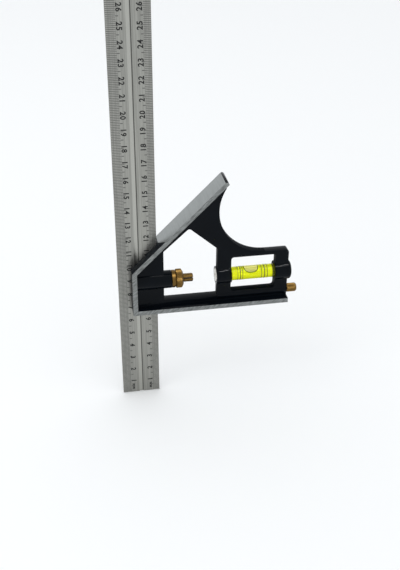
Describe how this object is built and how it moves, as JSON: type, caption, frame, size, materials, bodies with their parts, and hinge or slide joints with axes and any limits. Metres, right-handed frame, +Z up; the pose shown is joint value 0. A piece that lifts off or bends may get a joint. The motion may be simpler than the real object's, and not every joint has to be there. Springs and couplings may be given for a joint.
{
  "type": "combination square",
  "caption": "Combination square: a cast stock with 90 and 45 degree faces, a spirit level and a scriber slides along a grooved steel rule and locks with a knurled nut.",
  "frame": {"origin": "middle of the stock's 90 degree face, at mid thickness", "axes": "+Z up the rule, square to the 90 degree face; +X along the 90 degree face from the rule to the scriber's knob; +Y from the graduated face of the rule to its back"},
  "size_m": [0.1183, 0.016, 0.3],
  "materials": {
    "black_enamel": "gloss black enamel on the casting, with the 90 and 45 degree faces and the rims machined bare",
    "satin_steel": "satin steel with black etched graduations",
    "brass": "turned and knurled, slightly dulled",
    "spring_steel": "drawn wire",
    "vial_acrylic": "clear fluorescent yellow acrylic",
    "vial_liquid": "fluorescent yellow liquid",
    "vial_bubble": "clear",
    "nickel_plate": "dull nickel plate",
    "hardened_steel": "ground, hardened",
    "nylon": "black nylon"
  },
  "bodies": {
    "stock": {"stock_casting": "black_enamel", "lock_spring": "spring_steel", "vial_tube": "vial_acrylic", "vial_stopper": "vial_acrylic", "vial_liquid": "vial_liquid", "vial_retaining_plug": "nickel_plate", "scriber_bush": "nylon"},
    "rule": {"rule": "satin_steel"},
    "lock_bolt": {"lock_bolt": "brass"},
    "lock_nut": {"lock_nut": "brass"},
    "bubble": {"vial_bubble": "vial_bubble"},
    "scriber": {"scriber_needle": "hardened_steel", "scriber_knob": "brass"}
  },
  "joints": [
    {"name": "rule_slide", "type": "slide", "parent": "stock", "child": "rule", "axis": [0, 0, 1], "range_m": [-0.2, 0.067]},
    {"name": "nut_turn", "type": "hinge", "parent": "stock", "child": "lock_nut", "pos_m": [-0.0295, 0, 0.021], "axis": [1, 0, 0], "range_deg": [0, 240]},
    {"name": "bolt_draw", "type": "slide", "parent": "stock", "child": "lock_bolt", "axis": [-1, 0, 0], "range_m": [0, 0.00053]},
    {"name": "bubble_travel", "type": "slide", "parent": "stock", "child": "bubble", "axis": [1, 0, 0], "range_m": [-0.012, 0.014]},
    {"name": "scriber_pull", "type": "slide", "parent": "stock", "child": "scriber", "axis": [1, 0, 0], "range_m": [0, 0.036]}
  ],
  "couplings": [
    {"joint": "nut_turn", "follows": "bolt_draw", "rad_per_m": 7854}
  ]
}
